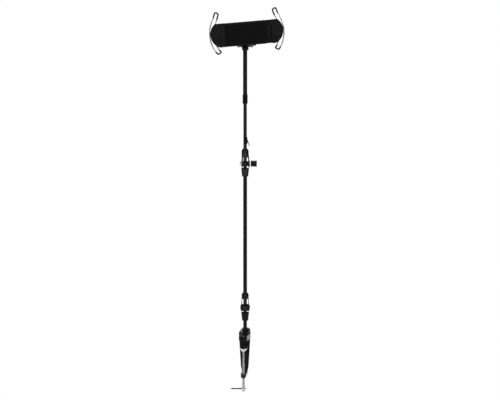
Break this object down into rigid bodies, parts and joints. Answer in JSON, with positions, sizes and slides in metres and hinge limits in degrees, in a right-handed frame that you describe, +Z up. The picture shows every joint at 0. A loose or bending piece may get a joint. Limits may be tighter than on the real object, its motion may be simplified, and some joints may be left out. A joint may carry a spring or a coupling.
{
  "type": "tablet arm holder",
  "caption": "Long jointed desk arm with a screw clamp, folding elbows, a telescopic tube and a tilting, turning cradle whose wire claws grip a tablet.",
  "frame": {"origin": "middle of the clamp's upper pad, on the clamp screw's axis", "axes": "+Z up along the arm, -Y towards the person who looks at the tablet, +X to that person's right"},
  "size_m": [0.1933, 0.0833, 0.9803],
  "materials": {
    "casting": "gloss",
    "arm_metal": "satin",
    "tube_black": "gloss",
    "chrome": "polished",
    "steel": "brushed",
    "black_steel": "oxide",
    "rubber": "matt",
    "black_plastic": "matt",
    "jaw_plastic": "matt",
    "nylon": "matt"
  },
  "bodies": {
    "clamp": {"clamp_body": "casting", "upper_jaw_pad": "rubber", "socket_bush": "nylon"},
    "dish": {"pressure_dish": "chrome", "dish_disc": "rubber"},
    "screw": {"clamp_screw": "chrome"},
    "cross_bar": {"cross_bar": "black_steel", "cross_bar_stops": "black_steel"},
    "post": {"swivel_post": "tube_black", "lower_elbow_tongue": "arm_metal"},
    "lower_arm": {"lower_elbow_fork": "arm_metal", "lower_elbow_bolt": "steel", "lower_elbow_nut": "steel", "lower_elbow_caps": "black_plastic", "lower_elbow_washers": "nylon", "lower_tube": "tube_black", "middle_elbow_tongue": "arm_metal"},
    "upper_arm": {"middle_elbow_fork": "arm_metal", "middle_elbow_bolt": "steel", "middle_elbow_washers": "nylon", "middle_elbow_cap": "chrome", "knob_washer": "steel", "inner_tube": "tube_black", "guide_plug": "nylon", "cable_clip": "black_plastic"},
    "knob": {"middle_elbow_knob": "black_plastic", "knob_insert": "steel"},
    "extension": {"outer_tube": "tube_black", "lock_collet": "nylon", "tube_head": "black_plastic", "head_set_screw": "steel"},
    "lock_collar": {"lock_collar": "black_plastic"},
    "bracket": {"tilt_bracket": "black_plastic", "tilt_bolt": "black_steel", "tilt_washers": "nylon", "swivel_screw": "steel", "swivel_nut": "steel", "swivel_washer": "nylon"},
    "tilt_nut": {"tilt_nut": "black_plastic"},
    "cradle": {"cradle_back": "black_plastic", "cradle_front": "black_plastic", "cover_screws": "steel", "return_springs": "steel", "fixed_jaw": "jaw_plastic", "fixed_jaw_back": "black_plastic", "fixed_jaw_screws": "steel", "left_claw": "chrome", "left_claw_sleeves": "rubber"},
    "jaw": {"sliding_jaw": "jaw_plastic", "sliding_jaw_back": "black_plastic", "sliding_jaw_screws": "steel", "right_claw": "chrome", "right_claw_sleeves": "rubber"}
  },
  "joints": [
    {"name": "screw_climb", "type": "slide", "parent": "clamp", "child": "dish", "axis": [0, 0, 1], "range_m": [-0.054, 0.016]},
    {"name": "screw_turn", "type": "hinge", "parent": "dish", "child": "screw", "pos_m": [0, 0, -0.026], "axis": [0, 0, 1], "range_deg": [-12960, 3840]},
    {"name": "cross_bar_slide", "type": "slide", "parent": "screw", "child": "cross_bar", "axis": [1, 0, 0], "range_m": [0, 0.0258]},
    {"name": "base_swivel", "type": "hinge", "parent": "clamp", "child": "post", "pos_m": [0.00402, 0.03275, 0], "axis": [0, 0, 1], "continuous": true},
    {"name": "lower_elbow_fold", "type": "hinge", "parent": "post", "child": "lower_arm", "pos_m": [0.00402, 0.03275, 0.082], "axis": [1, 0, 0], "range_deg": [-110, 110]},
    {"name": "middle_elbow_fold", "type": "hinge", "parent": "lower_arm", "child": "upper_arm", "pos_m": [0.00402, 0.03275, 0.456], "axis": [1, 0, 0], "range_deg": [-110, 110]},
    {"name": "knob_turn", "type": "hinge", "parent": "upper_arm", "child": "knob", "pos_m": [0.00402, 0.03275, 0.456], "axis": [1, 0, 0], "range_deg": [0, 360]},
    {"name": "extension_slide", "type": "slide", "parent": "upper_arm", "child": "extension", "axis": [0, 0, 1], "range_m": [-0.06, 0.03]},
    {"name": "lock_collar_turn", "type": "hinge", "parent": "extension", "child": "lock_collar", "pos_m": [0.00402, 0.03275, 0.612], "axis": [0, 0, 1], "range_deg": [0, 180]},
    {"name": "tilt", "type": "hinge", "parent": "extension", "child": "bracket", "pos_m": [0.00402, 0.03275, 0.7685], "axis": [1, 0, 0], "range_deg": [-90, 10]},
    {"name": "tilt_nut_turn", "type": "hinge", "parent": "bracket", "child": "tilt_nut", "pos_m": [0.00402, 0.03275, 0.7685], "axis": [1, 0, 0], "range_deg": [0, 360]},
    {"name": "cradle_turn", "type": "hinge", "parent": "bracket", "child": "cradle", "pos_m": [0.00402, 0.03275, 0.7867], "axis": [0, -1, 0], "continuous": true},
    {"name": "jaw_slide", "type": "slide", "parent": "cradle", "child": "jaw", "axis": [0.9965, 0, 0.0837], "range_m": [0, 0.042], "stiffness_N_per_m": 150, "springref_m": -0.03, "deforming": ["return_springs"]}
  ],
  "couplings": [
    {"joint": "screw_turn", "follows": "screw_climb", "rad_per_m": 4188.8}
  ]
}
